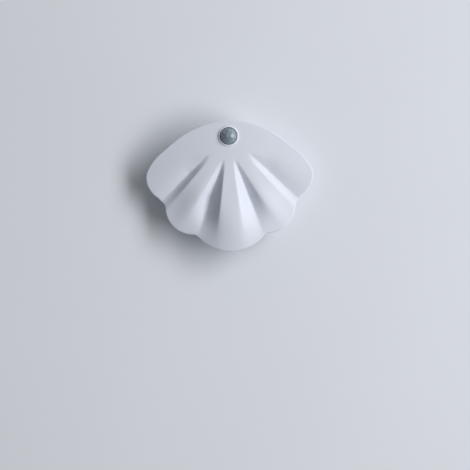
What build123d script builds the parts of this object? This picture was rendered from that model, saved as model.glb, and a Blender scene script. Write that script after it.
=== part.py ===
from build123d import *

import os
from collections import namedtuple
from math import atan2, cos, degrees, hypot, pi, radians, sin, tan

os.makedirs("parts", exist_ok=True)

# A scallop-shaped motion sensor wall light. All sizes are millimetres. The wall is the plane
# Y = 0, the light faces -Y, X runs to the right and Z up. The origin is the centre of the
# adhesive pad's rear face. A height (..._H) is a distance out from the wall.

# Wall plate and its adhesive pad
TAPE_T = 1.0
PLATE_T = 1.2
PLATE_W = 44.0
PLATE_D = 22.0
PLATE_CORNER_R = 4.0
TAPE_MARGIN = 1.0

# Battery and magnets
BATTERY_W = 36.0
BATTERY_L = 20.0
BATTERY_T = 5.0
BATTERY_Z = 5.0
BATTERY_TAPE_T = 0.5
BATTERY_TAPE_MARGIN = 3.0
MAGNET_R = 6.0
MAGNET_T = 2.0
MAGNET_X = 14.0
MAGNET_SINK = 0.5
MAGNET_FIT = 0.1
MAGNET_RIM_T = 1.4

# Rear pod: cover, light ring and frame
RECESS_DEPTH = 0.8
RECESS_GAP = 0.4
COVER_FLOOR_T = 2.0
COVER_EDGE_R = 1.2
POD_WALL = 1.8
POD_TOP_R = 10.5
POD_CORNER_R = 14.0
HEADROOM = 0.3
DIFFUSER_D = 3.2
FRAME_T = 1.4
SENSOR_Z = 30.0

# Main circuit board
BOARD_W = 46.0
BOARD_D = 16.5
BOARD_T = 1.2
BOARD_STANDOFF = 5.2
BOARD_GAP = 1.2
BOARD_END_GAP = 1.5
BOARD_SCREW_X = 19.5
BOARD_SCREW_INSET = 3.3
BOARD_POST_R = 2.2
BOARD_SCREW_R = 0.8
BOARD_SCREW_LENGTH = 4.8
BOARD_HEAD_R = 1.5
BOARD_HEAD_T = 0.9

# Long screws that hold cover, frame and front shell together
SCREW_R = 1.0
SCREW_HEAD_R = 2.0
SCREW_HEAD_T = 1.5
SCREW_GRIP = 5.2
SCREW_GAP = 0.2
PILOT_GAP = 0.03
HEAD_GAP = 0.3
HEAD_SEAT_DEPTH = 3.6
POST_R = 3.4
POST_SIDE_GAP = 0.8
POST_INSET = 3.2
UPPER_POST_X = 9.0
UPPER_POST_DROP = 9.5
LOWER_POST_Z = -8.0
BOSS_R = 3.0

# Light board
LED_BOARD_T = 1.2
LED_BOARD_W = 6.0
LED_BOARD_GAP = 0.6
LED_COUNT = 18
LED_L = 3.0
LED_D = 1.4
LED_T = 1.2
LED_EDGE_GAP = 0.2

# Charging socket, switch and status light in the lower edge of the pod
USB_X = -11.0
USB_W = 8.94
USB_SHELL_D = 3.2
USB_LENGTH = 7.3
USB_SHELL_T = 0.3
USB_SET_BACK = 0.3
USB_TONGUE_W = 6.7
USB_TONGUE_T = 0.7
USB_TONGUE_L = 4.5
USB_BACK_T = 1.6
USB_SLOT_GAP = 0.35
SWITCH_X = 11.0
SWITCH_W = 9.0
SWITCH_BODY_D = 3.5
SWITCH_LENGTH = 3.8
SWITCH_TRAVEL = 2.0
STEM_W = 2.4
STEM_T = 1.5
STEM_GAP = 0.3
KNOB_W = 6.0
KNOB_T = 2.8
KNOB_L = 1.5
KNOB_GAP = 0.15
KNOB_RIB = 0.4
PIPE_R = 1.0
PIPE_LENGTH = 4.5
PIPE_FIT = 0.05

# Motion sensor
LENS_R = 6.2
LENS_RISE = 5.0
LENS_T = 0.7
LENS_FLANGE_R = 7.6
LENS_FLANGE_T = 1.0
LENS_SEAT_GAP = 0.1
BEZEL_T = 0.4
BEZEL_R = 7.3
BEZEL_RISE = 0.8
BEZEL_TUBE = 1.6
BEZEL_SEAT = 0.2
FIT_GAP = 0.1
SENSOR_BOARD_R = 7.5
SENSOR_BOARD_T = 1.0
CAN_R = 4.15
CAN_FLANGE_R = 4.6
CAN_FLANGE_T = 0.5
CAN_LENGTH = 4.2
WINDOW_W = 4.6
WINDOW_D = 3.4
WINDOW_T = 0.3
COLLAR_R = 7.4
COLLAR_T = 1.3
SENSOR_TUBE_T = 1.4
SENSOR_TUBE_GAP = 0.3
CABLE_DROP = 5.5

# Front shell outline, measured from the sensor axis
TOP_RISE = 11.1
BROW = (14.6, 9.2)
SHOULDER = (28.5, 3.9)
FLANK = (45.2, -7.9)
WING = (54.6, -16.6)
WING_TIP = (60.0, -28.0)
WING_HEEL = (52.0, -42.4)
OUTER_NOTCH = (46.6, -48.4)
SIDE_LOBE = (42.2, -62.3)
INNER_NOTCH = (25.2, -69.4)
CENTRE_LOBE = (14.5, -78.4)
BOTTOM_REACH = 82.4
NOTCH_R = 5.0

# Front shell relief
SHELL_WALL = 2.0
GROOVE_WALL = 3.0
PLATEAU_RISE = 9.6
WING_DROP = 5.6
BOTTOM_DROP = 5.0
FAN_RISE = 7.0
FAN_START = 14.0
FAN_END = 96.0
SIDE_LEVEL = 0.38
SIDE_FADE = 0.5
SIDE_TILT = 0.55
CENTRE_ARCH = 0.09
RIM_FADE_START = 40.0
RIM_FADE_END = 72.0
SURFACE_MARGIN = 6.0
SURFACE_STEP = 3.0

# Where the lobes begin and end, in degrees either side of straight down from the sensor
CENTRE_EDGE = 8.8
SIDE_INNER_EDGE = 27.0
SIDE_OUTER_EDGE = 41.5
WING_EDGE = 59.0

# Grooves: where the floor line starts, its angle from straight down, the widths of the two flanks
# at the start and the angles by which they spread, the depth below the outer ridge, where along
# the floor line the depth is full and where it is gone, and the places of the sections
Groove = namedtuple(
    "Groove",
    "start_x start_drop angle inner_width inner_spread outer_width outer_spread depth peak end sections",
)
INNER_GROOVE = Groove(
    start_x=4.2, start_drop=17.5, angle=20.0, inner_width=1.4, inner_spread=11.8, outer_width=1.5,
    outer_spread=10.0, depth=5.9, peak=28.0, end=56.0, sections=(-8, 0, 14, 28, 37, 46, 56, 72),
)
OUTER_GROOVE = Groove(
    start_x=16.6, start_drop=13.6, angle=45.8, inner_width=3.6, inner_spread=2.0, outer_width=6.2,
    outer_spread=9.2, depth=2.3, peak=15.0, end=95.0, sections=(-8, 0, 8, 15, 30, 45, 70),
)
GROOVE_ARM = 6.0
GROOVE_FLOOR_R = 0.8
LEAST_SLOPE = 0.2

# Heights out from the wall, each from the one behind it
PLATE_H = TAPE_T + PLATE_T
COVER_REAR_H = PLATE_H - RECESS_DEPTH
COVER_FLOOR_H = COVER_REAR_H + COVER_FLOOR_T
MAGNET_H = COVER_FLOOR_H - MAGNET_SINK
MAGNET_RIM_H = MAGNET_H + MAGNET_T + MAGNET_FIT
BATTERY_H = MAGNET_RIM_H + BATTERY_TAPE_T
COVER_EDGE_H = BATTERY_H + BATTERY_T + HEADROOM
FRAME_H = COVER_EDGE_H + DIFFUSER_D
POD_FRONT_H = FRAME_H + FRAME_T
PLATEAU_H = POD_FRONT_H + PLATEAU_RISE
BOARD_H = COVER_FLOOR_H + BOARD_STANDOFF
BOARD_FRONT_H = BOARD_H + BOARD_T
LED_BOARD_H = FRAME_H - LED_BOARD_T
HEAD_SEAT_H = COVER_REAR_H + HEAD_SEAT_DEPTH
SCREW_TIP_H = POD_FRONT_H + SCREW_GRIP
USB_AXIS_H = BOARD_H - USB_SHELL_D / 2
SWITCH_AXIS_H = BOARD_H - SWITCH_BODY_D / 2
PIPE_H = BOARD_H - PIPE_R - STEM_GAP
SENSOR_BOARD_H = POD_FRONT_H + SENSOR_BOARD_T
LENS_SEAT_H = PLATEAU_H - SHELL_WALL - LENS_SEAT_GAP
LENS_FLANGE_H = LENS_SEAT_H - LENS_FLANGE_T
BEZEL_SEAT_H = PLATEAU_H - BEZEL_SEAT
FRONT_LIMIT_H = PLATEAU_H + FAN_RISE + SURFACE_MARGIN

# Places in the plane of the wall
BOARD_TOP_Z = BATTERY_Z - BATTERY_L / 2 - BOARD_GAP
BOARD_Z = BOARD_TOP_Z - BOARD_D / 2
POD_BOTTOM_Z = BOARD_TOP_Z - BOARD_D - BOARD_END_GAP - POD_WALL
POD_CORNER_Z = POD_BOTTOM_Z + POD_CORNER_R
LOWER_POST_X = BOARD_W / 2 + POST_SIDE_GAP + POST_R
POD_CORNER_X = LOWER_POST_X - POST_INSET
UPPER_POST_Z = SENSOR_Z - UPPER_POST_DROP
BOARD_SCREW_Z = BOARD_TOP_Z - BOARD_SCREW_INSET
CABLE_Z = SENSOR_Z - CABLE_DROP
SCREW_POINTS = [
    (-UPPER_POST_X, UPPER_POST_Z),
    (UPPER_POST_X, UPPER_POST_Z),
    (-LOWER_POST_X, LOWER_POST_Z),
    (LOWER_POST_X, LOWER_POST_Z),
]
BOARD_SCREW_POINTS = [(-BOARD_SCREW_X, BOARD_SCREW_Z), (BOARD_SCREW_X, BOARD_SCREW_Z)]
MAGNET_POINTS = [(-MAGNET_X, 0), (MAGNET_X, 0)]
SENSOR_AXIS = Axis((0, 0, SENSOR_Z), (0, -1, 0))


def wall_plane(height):
    """A plane parallel to the wall: local x is X, local y is Z, outward is -Y."""
    return Plane.XZ.offset(height)


def down_plane(x, height, z):
    """A plane that faces straight down: local x is X, local y is the height from the wall."""
    return Plane(origin=(x, -height, z), x_dir=(1, 0, 0), z_dir=(0, 0, -1))


def axis_plane(x, z):
    """A plane through an axis square to the wall: local x is X, local y is the height."""
    return Plane(origin=(x, 0, z), x_dir=(1, 0, 0), z_dir=(0, 0, -1))


def save(part, name):
    part.label = name
    export_step(part, f"parts/{name}.step")


def pod_outline(inset):
    """The pod's rounded triangle, drawn inside its outer edge by the inset."""
    with BuildSketch() as outline:
        with BuildLine():
            CenterArc((0, SENSOR_Z), POD_TOP_R - inset, 0, 360)
            CenterArc((POD_CORNER_X, POD_CORNER_Z), POD_CORNER_R - inset, 0, 360)
            CenterArc((-POD_CORNER_X, POD_CORNER_Z), POD_CORNER_R - inset, 0, 360)
        make_hull()
    return outline.sketch


# Wall mount

with BuildPart() as wall_tape:
    with BuildSketch(wall_plane(0)):
        RectangleRounded(PLATE_W - 2 * TAPE_MARGIN, PLATE_D - 2 * TAPE_MARGIN, PLATE_CORNER_R - TAPE_MARGIN)
    extrude(amount=TAPE_T)
save(wall_tape.part, "wall_tape")

with BuildPart() as wall_plate:
    with BuildSketch(wall_plane(TAPE_T)):
        RectangleRounded(PLATE_W, PLATE_D, PLATE_CORNER_R)
    extrude(amount=PLATE_T)
save(wall_plate.part, "wall_plate")

# Rear cover

with BuildPart() as rear_cover:
    with BuildSketch(wall_plane(COVER_REAR_H)):
        add(pod_outline(0))
    extrude(amount=COVER_EDGE_H - COVER_REAR_H)
    fillet(rear_cover.faces().sort_by(Axis.Y)[-1].edges(), COVER_EDGE_R)
    with BuildSketch(wall_plane(COVER_FLOOR_H)):
        add(pod_outline(POD_WALL))
    extrude(amount=COVER_EDGE_H - COVER_FLOOR_H, mode=Mode.SUBTRACT)
    # Posts for the long screws, the board and rims round the magnets
    with BuildSketch(wall_plane(COVER_FLOOR_H)):
        with Locations(*SCREW_POINTS):
            Circle(POST_R)
    extrude(amount=FRAME_H - COVER_FLOOR_H)
    with BuildSketch(wall_plane(COVER_FLOOR_H)):
        with Locations(*BOARD_SCREW_POINTS):
            Circle(BOARD_POST_R)
    extrude(amount=BOARD_H - COVER_FLOOR_H)
    with BuildSketch(wall_plane(COVER_FLOOR_H)):
        with Locations(*MAGNET_POINTS):
            Circle(MAGNET_R + MAGNET_FIT + MAGNET_RIM_T)
    extrude(amount=MAGNET_RIM_H - COVER_FLOOR_H)
    with BuildSketch(wall_plane(MAGNET_H)):
        with Locations(*MAGNET_POINTS):
            Circle(MAGNET_R + MAGNET_FIT)
    extrude(amount=MAGNET_RIM_H - MAGNET_H, mode=Mode.SUBTRACT)
    # Recess for the wall plate
    with BuildSketch(wall_plane(COVER_REAR_H)):
        RectangleRounded(PLATE_W + 2 * RECESS_GAP, PLATE_D + 2 * RECESS_GAP, PLATE_CORNER_R + RECESS_GAP)
    extrude(amount=RECESS_DEPTH, mode=Mode.SUBTRACT)
    # Screw holes
    with BuildSketch(wall_plane(COVER_REAR_H)):
        with Locations(*SCREW_POINTS):
            Circle(SCREW_HEAD_R + HEAD_GAP)
    extrude(amount=HEAD_SEAT_DEPTH, mode=Mode.SUBTRACT)
    with BuildSketch(wall_plane(COVER_REAR_H)):
        with Locations(*SCREW_POINTS):
            Circle(SCREW_R + SCREW_GAP)
    extrude(amount=FRAME_H - COVER_REAR_H, mode=Mode.SUBTRACT)
    with BuildSketch(wall_plane(BOARD_FRONT_H - BOARD_SCREW_LENGTH - SCREW_GAP)):
        with Locations(*BOARD_SCREW_POINTS):
            Circle(BOARD_SCREW_R + PILOT_GAP)
    extrude(amount=BOARD_SCREW_LENGTH, mode=Mode.SUBTRACT)
    # Slots in the lower edge for the charging socket, the switch and the status light
    wall_inside_z = POD_BOTTOM_Z + POD_WALL + HEADROOM
    with BuildSketch(down_plane(USB_X, USB_AXIS_H, wall_inside_z)):
        SlotOverall(USB_W + 2 * USB_SLOT_GAP, USB_SHELL_D + 2 * USB_SLOT_GAP)
    extrude(amount=POD_WALL + 2 * HEADROOM, mode=Mode.SUBTRACT)
    with BuildSketch(down_plane(SWITCH_X, SWITCH_AXIS_H, wall_inside_z)):
        Rectangle(STEM_W + 2 * (SWITCH_TRAVEL + STEM_GAP), STEM_T + 2 * STEM_GAP)
    extrude(amount=POD_WALL + 2 * HEADROOM, mode=Mode.SUBTRACT)
    with BuildSketch(down_plane(0, PIPE_H, wall_inside_z)):
        Circle(PIPE_R + PIPE_FIT)
    extrude(amount=POD_WALL + 2 * HEADROOM, mode=Mode.SUBTRACT)
save(rear_cover.part, "rear_cover")

with BuildPart() as magnets:
    with BuildSketch(wall_plane(MAGNET_H)):
        with Locations(*MAGNET_POINTS):
            Circle(MAGNET_R)
    extrude(amount=MAGNET_T)
save(magnets.part, "magnets")

# Battery

with BuildPart() as battery_tape:
    with BuildSketch(wall_plane(MAGNET_RIM_H)):
        with Locations((0, BATTERY_Z)):
            Rectangle(BATTERY_W - 2 * BATTERY_TAPE_MARGIN, BATTERY_L - 2 * BATTERY_TAPE_MARGIN)
    extrude(amount=BATTERY_TAPE_T)
save(battery_tape.part, "battery_tape")

BATTERY_CORNER_R = 2.0
BATTERY_EDGE_R = 0.8

with BuildPart() as battery_cell:
    with BuildSketch(wall_plane(BATTERY_H)):
        with Locations((0, BATTERY_Z)):
            RectangleRounded(BATTERY_W, BATTERY_L, BATTERY_CORNER_R)
    extrude(amount=BATTERY_T)
    fillet(battery_cell.faces().filter_by(Axis.Y).edges(), BATTERY_EDGE_R)
save(battery_cell.part, "battery_cell")

# Main circuit board and what stands on it

with BuildPart() as main_board:
    with BuildSketch(wall_plane(BOARD_H)):
        with Locations((0, BOARD_Z)):
            Rectangle(BOARD_W, BOARD_D)
        with Locations(*BOARD_SCREW_POINTS):
            Circle(BOARD_SCREW_R + SCREW_GAP, mode=Mode.SUBTRACT)
    extrude(amount=BOARD_T)
save(main_board.part, "main_board")

# Each chip's place, right of the board's middle and below its upper edge, and its size
CHIP_T = 1.4
CHIPS = [((-5.0, 4.8), (5.0, 4.0)), ((-12.5, 10.3), (3.0, 3.0)), ((4.0, 10.8), (2.9, 1.6))]
SMALL_CHIPS_PLACE = (3.0, 7.3)
SMALL_CHIP = (1.6, 0.8)
SMALL_CHIP_T = 0.6
SMALL_CHIP_COUNT = 5
SMALL_CHIP_PITCH = 2.4

with BuildPart() as board_chips:
    with BuildSketch(wall_plane(BOARD_FRONT_H)):
        for (x, drop), size in CHIPS:
            with Locations((x, BOARD_TOP_Z - drop)):
                Rectangle(*size)
    extrude(amount=CHIP_T)
    with BuildSketch(wall_plane(BOARD_FRONT_H)):
        with Locations((SMALL_CHIPS_PLACE[0], BOARD_TOP_Z - SMALL_CHIPS_PLACE[1])):
            with GridLocations(SMALL_CHIP_PITCH, SMALL_CHIP_PITCH, SMALL_CHIP_COUNT, 1):
                Rectangle(*SMALL_CHIP)
    extrude(amount=SMALL_CHIP_T)
save(board_chips.part, "board_chips")

CONNECTOR_SIDE_GAP = 6.0
CONNECTOR_W = 6.0
CONNECTOR_D = 4.5
CONNECTOR_T = 3.5
CONNECTOR_DROP = 1.8
WIRE_R = 0.45
WIRE_SPREAD = 1.0
WIRE_BEND_R = 0.5

connector_x = BOARD_W / 2 - CONNECTOR_SIDE_GAP - CONNECTOR_W / 2
connector_top_z = BOARD_TOP_Z - CONNECTOR_DROP
with BuildPart() as battery_connector:
    with BuildSketch(wall_plane(BOARD_FRONT_H)):
        with Locations((connector_x, connector_top_z - CONNECTOR_D / 2)):
            Rectangle(CONNECTOR_W, CONNECTOR_D)
    extrude(amount=CONNECTOR_T)
save(battery_connector.part, "battery_connector")


def battery_wire(x):
    """One lead from the end of the cell, out past the board's edge and into the connector."""
    cell_end_z = BATTERY_Z - BATTERY_L / 2
    lane_z = cell_end_z - BOARD_GAP / 2
    cell_h = BATTERY_H + BATTERY_T / 2
    plug_h = BOARD_FRONT_H + CONNECTOR_T / 2
    with BuildPart() as wire:
        with BuildLine(Plane.YZ.offset(x)):
            FilletPolyline(
                (-cell_h, cell_end_z), (-cell_h, lane_z), (-plug_h, lane_z), (-plug_h, connector_top_z),
                radius=WIRE_BEND_R,
            )
        with BuildSketch(down_plane(x, cell_h, cell_end_z)):
            Circle(WIRE_R)
        sweep()
    return wire.part


save(battery_wire(connector_x - WIRE_SPREAD), "battery_wire_red")
save(battery_wire(connector_x + WIRE_SPREAD), "battery_wire_black")

with BuildPart() as board_screws:
    with BuildSketch(wall_plane(BOARD_FRONT_H)):
        with Locations(*BOARD_SCREW_POINTS):
            Circle(BOARD_HEAD_R)
    extrude(amount=BOARD_HEAD_T)
    with BuildSketch(wall_plane(BOARD_FRONT_H - BOARD_SCREW_LENGTH)):
        with Locations(*BOARD_SCREW_POINTS):
            Circle(BOARD_SCREW_R)
    extrude(amount=BOARD_SCREW_LENGTH)
save(board_screws.part, "board_screws")

# Charging socket

usb_mouth_z = POD_BOTTOM_Z + USB_SET_BACK
usb_back_z = usb_mouth_z + USB_LENGTH
USB_CORNER_R = 1.5
USB_INNER_W = USB_W - 2 * USB_SHELL_T
USB_INNER_D = USB_SHELL_D - 2 * USB_SHELL_T

with BuildPart() as usb_socket:
    with BuildSketch(down_plane(USB_X, USB_AXIS_H, usb_back_z)):
        RectangleRounded(USB_W, USB_SHELL_D, USB_CORNER_R)
        RectangleRounded(USB_INNER_W, USB_INNER_D, USB_CORNER_R - USB_SHELL_T, mode=Mode.SUBTRACT)
    extrude(amount=USB_LENGTH)
save(usb_socket.part, "usb_socket")

with BuildPart() as usb_tongue:
    with BuildSketch(down_plane(USB_X, USB_AXIS_H, usb_back_z)):
        RectangleRounded(USB_INNER_W, USB_INNER_D, USB_CORNER_R - USB_SHELL_T)
    extrude(amount=USB_BACK_T)
    with BuildSketch(down_plane(USB_X, USB_AXIS_H, usb_back_z)):
        Rectangle(USB_TONGUE_W, USB_TONGUE_T)
    extrude(amount=USB_BACK_T + USB_TONGUE_L)
save(usb_tongue.part, "usb_tongue")

# Mode switch: a body on the board and a knob that slides along the lower edge

switch_front_z = POD_BOTTOM_Z + POD_WALL + STEM_GAP
switch_back_z = switch_front_z + SWITCH_LENGTH
knob_back_z = POD_BOTTOM_Z - KNOB_GAP
STEM_REACH = 1.9
KNOB_RIB_COUNT = 3
KNOB_RIB_PITCH = 1.5
KNOB_RIB_W = 0.6

with BuildPart() as switch_body:
    with BuildSketch(down_plane(SWITCH_X, SWITCH_AXIS_H, switch_back_z)):
        Rectangle(SWITCH_W, SWITCH_BODY_D)
    extrude(amount=SWITCH_LENGTH)
    with BuildSketch(down_plane(SWITCH_X, SWITCH_AXIS_H, switch_front_z + STEM_REACH + STEM_GAP)):
        Rectangle(STEM_W + 2 * (SWITCH_TRAVEL + STEM_GAP), STEM_T + 2 * STEM_GAP)
    extrude(amount=STEM_REACH + STEM_GAP, mode=Mode.SUBTRACT)
save(switch_body.part, "switch_body")

with BuildPart() as switch_knob:
    with BuildSketch(down_plane(SWITCH_X, SWITCH_AXIS_H, switch_front_z + STEM_REACH)):
        Rectangle(STEM_W, STEM_T)
    extrude(amount=switch_front_z + STEM_REACH - knob_back_z)
    with BuildSketch(down_plane(SWITCH_X, SWITCH_AXIS_H, knob_back_z)):
        RectangleRounded(KNOB_W, KNOB_T, KNOB_RIB)
    extrude(amount=KNOB_L)
    with BuildSketch(down_plane(SWITCH_X, SWITCH_AXIS_H, knob_back_z - KNOB_L)):
        with GridLocations(KNOB_RIB_PITCH, KNOB_T, KNOB_RIB_COUNT, 1):
            Rectangle(KNOB_RIB_W, KNOB_T - 2 * KNOB_RIB)
    extrude(amount=KNOB_RIB)
save(switch_knob.part, "switch_knob")

# Status light: a chip on the board and a clear rod through the lower edge

STATUS_CHIP = (1.6, 1.0)
STATUS_CHIP_T = 1.0
STATUS_GAP = 0.1

pipe_back_z = POD_BOTTOM_Z + PIPE_LENGTH
with BuildPart() as light_pipe:
    with BuildSketch(down_plane(0, PIPE_H, pipe_back_z)):
        Circle(PIPE_R)
    extrude(amount=PIPE_LENGTH)
save(light_pipe.part, "light_pipe")

with BuildPart() as status_led:
    with BuildSketch(wall_plane(BOARD_H - STATUS_CHIP_T)):
        with Locations((0, pipe_back_z + STATUS_GAP + STATUS_CHIP[1] / 2)):
            Rectangle(*STATUS_CHIP)
    extrude(amount=STATUS_CHIP_T)
save(status_led.part, "status_led")

# Light ring, frame and light board

with BuildPart() as light_diffuser:
    with BuildSketch(wall_plane(COVER_EDGE_H)):
        add(pod_outline(0))
        add(pod_outline(POD_WALL), mode=Mode.SUBTRACT)
    extrude(amount=DIFFUSER_D)
save(light_diffuser.part, "light_diffuser")

CABLE_W = 3.8
CABLE_T = 1.0
CABLE_BEND_R = 1.2
CABLE_GAP = 0.4
CABLE_LANE = 0.6

with BuildPart() as inner_frame:
    with BuildSketch(wall_plane(FRAME_H)):
        add(pod_outline(0))
        with Locations(*SCREW_POINTS):
            Circle(SCREW_R + SCREW_GAP, mode=Mode.SUBTRACT)
        with Locations((0, CABLE_Z)):
            Rectangle(CABLE_W + 2 * CABLE_GAP, CABLE_T + 2 * CABLE_GAP, mode=Mode.SUBTRACT)
    extrude(amount=FRAME_T)
save(inner_frame.part, "inner_frame")

led_board_inset = POD_WALL + LED_BOARD_GAP
with BuildPart() as led_board:
    with BuildSketch(wall_plane(LED_BOARD_H)):
        add(pod_outline(led_board_inset))
        add(pod_outline(led_board_inset + LED_BOARD_W), mode=Mode.SUBTRACT)
        with Locations(*SCREW_POINTS):
            Circle(POST_R + SCREW_GAP, mode=Mode.SUBTRACT)
        with Locations((0, CABLE_Z)):
            Rectangle(CABLE_W + 2 * CABLE_GAP, CABLE_T + 2 * CABLE_GAP, mode=Mode.SUBTRACT)
    extrude(amount=LED_BOARD_T)
save(led_board.part, "led_board")

led_line = pod_outline(led_board_inset + LED_EDGE_GAP + LED_D / 2).wire()
with BuildPart() as leds:
    for index in range(LED_COUNT):
        share = (index + 0.5) / LED_COUNT
        place = led_line.position_at(share)
        along = led_line.tangent_at(share)
        led_plane = Plane(
            origin=(place.X, LED_T - LED_BOARD_H, place.Y), x_dir=(along.X, 0, along.Y), z_dir=(0, -1, 0)
        )
        with BuildSketch(led_plane):
            Rectangle(LED_L, LED_D)
    extrude(amount=LED_T)
save(leds.part, "leds")

LINK_X = -16.0
LINK_W = 7.5
LINK_D = 2.5
LINK_EDGE_GAP = 2.2

with BuildPart() as board_link:
    with BuildSketch(wall_plane(BOARD_FRONT_H)):
        with Locations((LINK_X, BOARD_TOP_Z - BOARD_D + LINK_EDGE_GAP)):
            Rectangle(LINK_W, LINK_D)
    extrude(amount=LED_BOARD_H - BOARD_FRONT_H)
save(board_link.part, "board_link")

cable_lane_h = LED_BOARD_H - CABLE_LANE
cable_end_z = BOARD_TOP_Z - 2 * CABLE_T
with BuildPart() as sensor_cable:
    with BuildSketch(Plane.YZ):
        with BuildLine() as cable_line:
            FilletPolyline(
                (-POD_FRONT_H, CABLE_Z), (-cable_lane_h, CABLE_Z),
                (-cable_lane_h, cable_end_z), (-BOARD_FRONT_H, cable_end_z),
                radius=CABLE_BEND_R,
            )
        trace(cable_line.edges(), line_width=CABLE_T)
    extrude(amount=CABLE_W / 2, both=True)
save(sensor_cable.part, "sensor_cable")

# Long screws

DRIVE_W = 0.5
DRIVE_L = 2.2
DRIVE_DEPTH = 0.7

with BuildPart() as cover_screws:
    with BuildSketch(wall_plane(HEAD_SEAT_H - SCREW_HEAD_T)):
        with Locations(*SCREW_POINTS):
            Circle(SCREW_HEAD_R)
    extrude(amount=SCREW_HEAD_T)
    with BuildSketch(wall_plane(HEAD_SEAT_H)):
        with Locations(*SCREW_POINTS):
            Circle(SCREW_R)
    extrude(amount=SCREW_TIP_H - HEAD_SEAT_H)
    with BuildSketch(wall_plane(HEAD_SEAT_H - SCREW_HEAD_T)):
        with Locations(*SCREW_POINTS):
            Rectangle(DRIVE_L, DRIVE_W)
            Rectangle(DRIVE_W, DRIVE_L)
    extrude(amount=DRIVE_DEPTH, mode=Mode.SUBTRACT)
save(cover_screws.part, "cover_screws")

# Motion sensor: board, can, window, light cell, collar, lens and bezel

with BuildPart() as sensor_board:
    with BuildSketch(wall_plane(POD_FRONT_H)):
        with Locations((0, SENSOR_Z)):
            Circle(SENSOR_BOARD_R)
    extrude(amount=SENSOR_BOARD_T)
save(sensor_board.part, "sensor_board")

can_front_h = SENSOR_BOARD_H + CAN_LENGTH
with BuildPart() as pir_can:
    with BuildSketch(wall_plane(SENSOR_BOARD_H)):
        with Locations((0, SENSOR_Z)):
            Circle(CAN_FLANGE_R)
    extrude(amount=CAN_FLANGE_T)
    with BuildSketch(wall_plane(SENSOR_BOARD_H)):
        with Locations((0, SENSOR_Z)):
            Circle(CAN_R)
    extrude(amount=CAN_LENGTH)
    with BuildSketch(wall_plane(can_front_h - WINDOW_T)):
        with Locations((0, SENSOR_Z)):
            Rectangle(WINDOW_W, WINDOW_D)
    extrude(amount=WINDOW_T, mode=Mode.SUBTRACT)
save(pir_can.part, "pir_can")

with BuildPart() as pir_window:
    with BuildSketch(wall_plane(can_front_h - WINDOW_T)):
        with Locations((0, SENSOR_Z)):
            Rectangle(WINDOW_W, WINDOW_D)
    extrude(amount=WINDOW_T)
save(pir_window.part, "pir_window")

LIGHT_CELL = (0.8, 1.6)
LIGHT_CELL_T = 0.7
LIGHT_CELL_X = 5.35

with BuildPart() as light_cell:
    with BuildSketch(wall_plane(SENSOR_BOARD_H)):
        with Locations((LIGHT_CELL_X, SENSOR_Z)):
            Rectangle(*LIGHT_CELL)
    extrude(amount=LIGHT_CELL_T)
save(light_cell.part, "light_cell")

with BuildPart() as sensor_collar:
    with BuildSketch(wall_plane(SENSOR_BOARD_H)):
        with Locations((0, SENSOR_Z)):
            Circle(COLLAR_R)
            Circle(COLLAR_R - COLLAR_T, mode=Mode.SUBTRACT)
    extrude(amount=LENS_FLANGE_H - SENSOR_BOARD_H)
save(sensor_collar.part, "sensor_collar")

# The dome is a ball cut flat by rings of facets
FACET_TILTS = [(0, 1), (29, 6), (52, 11), (72, 16)]
FACET_HALF_ANGLE = 13.0

ball_r = (LENS_R ** 2 + LENS_RISE ** 2) / (2 * LENS_RISE)
ball_h = BEZEL_SEAT_H + LENS_RISE - ball_r
facet_reach = ball_r * cos(radians(FACET_HALF_ANGLE))


def facet_plane(tilt, turn):
    """The plane of one facet: tilted off the sensor axis and turned round it."""
    across = sin(radians(tilt))
    outward = Vector(across * cos(radians(turn)), -cos(radians(tilt)), across * sin(radians(turn)))
    return Plane(origin=Vector(0, -ball_h, SENSOR_Z) + outward * facet_reach, z_dir=outward)


with BuildPart() as lens_dome:
    with BuildSketch(axis_plane(0, SENSOR_Z)):
        with Locations((0, ball_h)):
            Circle(ball_r)
        with Locations((0, BEZEL_SEAT_H)):
            Rectangle(ball_r, 2 * ball_r, align=(Align.MIN, Align.MIN), mode=Mode.INTERSECT)
    revolve(axis=SENSOR_AXIS)
    for tilt, count in FACET_TILTS:
        for index in range(count):
            split(bisect_by=facet_plane(tilt, 360 * index / count), keep=Keep.BOTTOM)

with BuildPart() as sensor_lens:
    add(lens_dome.part)
    with BuildSketch(wall_plane(LENS_FLANGE_H)):
        with Locations((0, SENSOR_Z)):
            Circle(LENS_R)
    extrude(amount=BEZEL_SEAT_H - LENS_FLANGE_H)
    with BuildSketch(wall_plane(LENS_FLANGE_H)):
        with Locations((0, SENSOR_Z)):
            Circle(LENS_FLANGE_R)
    extrude(amount=LENS_FLANGE_T)
    with BuildSketch(axis_plane(0, SENSOR_Z)):
        with Locations((0, ball_h)):
            Circle(facet_reach - LENS_T)
        with Locations((0, LENS_FLANGE_H)):
            Rectangle(ball_r, 2 * ball_r, align=(Align.MIN, Align.MIN), mode=Mode.INTERSECT)
    revolve(axis=SENSOR_AXIS, mode=Mode.SUBTRACT)
save(sensor_lens.part, "sensor_lens")

bezel_inner_r = LENS_R + FIT_GAP
with BuildPart() as lens_bezel:
    with BuildSketch(wall_plane(BEZEL_SEAT_H)):
        with Locations((0, SENSOR_Z)):
            Circle(BEZEL_R)
            Circle(bezel_inner_r, mode=Mode.SUBTRACT)
    extrude(amount=BEZEL_RISE)
    fillet(lens_bezel.faces().sort_by(Axis.Y)[0].outer_wire().edges(), BEZEL_RISE / 2)
    with BuildSketch(wall_plane(BEZEL_SEAT_H - BEZEL_TUBE)):
        with Locations((0, SENSOR_Z)):
            Circle(bezel_inner_r + BEZEL_T)
            Circle(bezel_inner_r, mode=Mode.SUBTRACT)
    extrude(amount=BEZEL_TUBE)
save(lens_bezel.part, "lens_bezel")

# Front shell: a smooth crown that swells below the sensor, cut by four tapering grooves


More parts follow.
